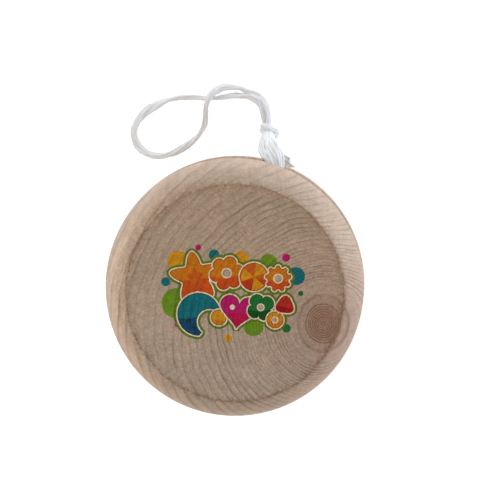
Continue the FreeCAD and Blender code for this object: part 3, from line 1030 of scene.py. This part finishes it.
class Tubes:
    """Collects closed tubes in one mesh, with lengthwise UVs."""

    def __init__(self):
        self.vertices, self.faces, self.uvs = [], [], []

    def add(self, line, radii, luck, sides=YARN_SIDES):
        """A soft uneven tube along a line that stays above the floor."""
        side, other = carried_frames(line)
        along = distances_along(line)
        angles = np.linspace(0, TURN, sides, endpoint=False)
        start = luck.uniform(0, TURN, 3)
        s = along[:, None]
        wave = 0.10 * np.sin(1.9 * s + start[0] + angles) + 0.08 * np.sin(4.7 * s + start[1] + 2 * angles)
        reach = np.asarray(radii)[:, None] * (1 + wave + 0.06 * np.sin(0.8 * s + start[2]))
        across, upwards = (reach * np.cos(angles))[..., None], (reach * np.sin(angles))[..., None]
        rings = line[:, None] + across * side[:, None] + upwards * other[:, None]
        rings[..., 2] = np.maximum(rings[..., 2], FLOOR_GAP)
        base = len(self.vertices)
        self.vertices.extend(rings.reshape(-1, 3))
        for row in range(len(line) - 1):
            for step in range(sides):
                after = (step + 1) % sides
                low, high = base + row * sides, base + (row + 1) * sides
                self.faces.append((low + step, low + after, high + after, high + step))
                u0, u1 = along[row], along[row + 1]
                v0, v1 = step / sides, (step + 1) / sides
                self.uvs.extend([(u0, v0), (u0, v1), (u1, v1), (u1, v0)])
        for row, order in ((0, -1), (len(line) - 1, 1)):
            self.faces.append(tuple(range(base + row * sides, base + (row + 1) * sides))[::order])
            self.uvs.extend([(along[row], 0.5)] * sides)

    def make(self, name, material):
        """One piece of the string's body, made of all the tubes."""
        vertices = [Vector(vertex) * MM for vertex in self.vertices]
        piece = mesh_object(name, vertices, self.faces, [material])
        layer = piece.data.uv_layers.new(name="strand")
        layer.data.foreach_set("uv", np.array(self.uvs, np.float32).ravel())
        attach(piece, "string")
        return piece


def make_string(material):
    """The whole string, as twisted yarns that follow its route and part where the lead leaves the gap."""
    line = smooth_line(string_route())
    total = line_length(line)
    winding = line_length(smooth_line(winding_route() + LEAD_ROUTE[:1]))
    knot_at = winding + line_length(smooth_line(LEAD_ROUTE))
    wound_places = np.arange(0, winding, WOUND_STEP)
    places = np.concatenate([wound_places, np.arange(winding, total, FREE_STEP), [total]])
    points = spaced(line, places)
    level, above = level_frames(points)
    past_knot = places - knot_at

    width = np.where(past_knot < 0, STRING_DIAMETER, table(past_knot, WIDTHS))
    width = WOUND_WIDTH + (width - WOUND_WIDTH) * step_up(places, winding - 5, winding + 10)
    bulk = width / STRING_DIAMETER
    angle = TURN / TWIST_LENGTH * places + 0.6 * np.sin(places / 7.3) + 0.3 * np.sin(places / 2.9)
    half_width = table(-past_knot, FAN_HALF_WIDTHS)
    # The yarns lie side by side in a fan from the knot to about 19 mm up the lead.
    fan = step_up(-past_knot, -0.3, 0.9) * (1 - step_up(-past_knot, 17, 21))
    thinning = 1 - 0.75 * step_up(places, total - FRAYED_LENGTH, total)

    luck = np.random.default_rng(7)
    tubes = Tubes()
    for number in range(YARNS):
        start = luck.uniform(0, TURN, 3)
        sideways, upwards = yarn_offsets(angle + 0.25 * np.sin(places / 3.7 + start[0]), number)
        slot = 2 * number / (YARNS - 1) - 1 + 0.10 * np.sin(places / 2.1 + start[1])
        arch = FAN_CROWN * (1 - slot**2) + 0.10 * (-1) ** number + 0.08 * np.sin(places / 1.7 + start[2])
        sideways = sideways * bulk * (1 - fan) + slot * half_width * fan
        upwards = upwards * bulk * (1 - fan) + arch * fan
        yarn = points + sideways[:, None] * level + upwards[:, None] * above
        yarn[:, 2] = np.maximum(yarn[:, 2], YARN_RADIUS * 0.8)
        tubes.add(yarn, YARN_RADIUS * bulk * thinning * (1 + 0.5 * fan), luck)
    piece = tubes.make("string", material)
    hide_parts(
        "axle_loop", "string_winding", "string_lead", "loop_neck", "finger_loop", "string_tail"
    )
    return piece, points, total


def make_knot(material):
    """A tight knot, whose turns are as thick as the string."""
    line = smooth_line([Vector(KNOT_CENTRE) + Vector(spot) for spot in KNOT_ROUTE])
    places = np.append(np.arange(0, line_length(line), FREE_STEP / 2), line_length(line))
    points = spaced(line, places)
    side, other = carried_frames(points)
    luck = np.random.default_rng(11)
    tubes = Tubes()
    bulk = KNOT_WIDTH / STRING_DIAMETER
    for number in range(YARNS):
        start = luck.uniform(0, TURN)
        sideways, upwards = yarn_offsets(0.5 * places + 0.2 * np.sin(places + start), number)
        yarn = points + bulk * (sideways[:, None] * side + upwards[:, None] * other)
        tubes.add(yarn, np.full(len(places), YARN_RADIUS * bulk), luck)
    piece = tubes.make("knot_turns", material)
    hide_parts("finger_knot")
    return piece


def make_frayed_end(material):
    """A flat tuft of loose fibres at the string's cut end, with a notch in the middle."""
    luck = np.random.default_rng(23)
    tubes = Tubes()
    middle = TUFT_ROOT.mean(axis=0)
    steps = np.linspace(0, 1, 9)[:, None]
    for number in range(TUFT_FIBRES):
        half = number % 2
        across = luck.uniform(0, 1)
        root = TUFT_ROOT[half] + (middle - TUFT_ROOT[half]) * across
        tip = TUFT_TIPS[half] + (TUFT_NOTCH - TUFT_TIPS[half]) * across * luck.uniform(0.75, 1.0)
        tip = root + (tip - root) * luck.uniform(0.86, 1.03)
        bow = luck.normal(0, 0.10, 2) * np.sin(steps * math.pi)
        flat = root + (tip - root) * steps + bow
        start, end = luck.uniform(-0.1, 0.15), luck.uniform(-0.1, 0.15)
        height = TUFT_HEIGHT + start + (end - start) * steps
        radii = luck.uniform(0.11, 0.16) * (1 - 0.45 * steps[:, 0])
        tubes.add(np.hstack([flat, height]), radii, luck, sides=5)
    return tubes.make("frayed_end", material)


# ---- axle and floor
def make_dowel_material():
    """Straight-grained pale dowel."""
    material, nodes, shader = new_material("dowel_wood", 0.6, 0.3)
    along_dowel = nodes.vector_math("MULTIPLY", nodes.place(), (1, 1, 0.12))
    streaks = nodes.noise(along_dowel, 1.6, 4.0, 0.6)
    tone = nodes.ramp(streaks, [(0.3, (0.36, 0.25, 0.16)), (0.7, (0.60, 0.46, 0.33))])
    dress(nodes, shader, tone, streaks, 0.05)
    return material


FLOOR_SIZE = 3000.0
FLOOR_GLOW = 0.58


def make_floor():
    """A plain white surface, a little lit from inside like a light table."""
    corners = [Vector((x, y, 0)) * FLOOR_SIZE * MM for x, y in ((-1, -1), (1, -1), (1, 1), (-1, 1))]
    material, _, shader = new_material("white_surface", 0.9, 0.1)
    shader.inputs["Base Color"].default_value = (0.88, 0.88, 0.88, 1)
    shader.inputs["Emission Color"].default_value = (1, 1, 1, 1)
    shader.inputs["Emission Strength"].default_value = FLOOR_GLOW
    floor = mesh_object("floor", corners, [(0, 1, 2, 3)], [material], smooth=False)


# ---- everything
make_camera()
make_lights()
cotton = make_string_material()
string, string_points, string_length = make_string(cotton)
knot = make_knot(cotton)
frayed_end = make_frayed_end(cotton)

front_grain_and_painted_light = make_wood_group("front_grain_and_painted_light", pith=(17.5, -5.65), drift=(-1.1, -1.7), seed=3.0)
back_grain_and_painted_light = make_wood_group("back_grain_and_painted_light", pith=(-30.0, 17.0), drift=(1.2, 1.0), seed=41.0)
front = make_half("front_half_wood", front_low.z, 1, make_wood("front_wood", front_grain_and_painted_light), 5)
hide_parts("front_half")
back = make_half("back_half_wood", back_high.z, -1, make_wood("back_wood", back_grain_and_painted_light), 9)
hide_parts("back_half")
make_print(front_grain_and_painted_light)
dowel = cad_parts["axle"]
dowel.data.materials.clear()
dowel.data.materials.append(make_dowel_material())
make_floor()
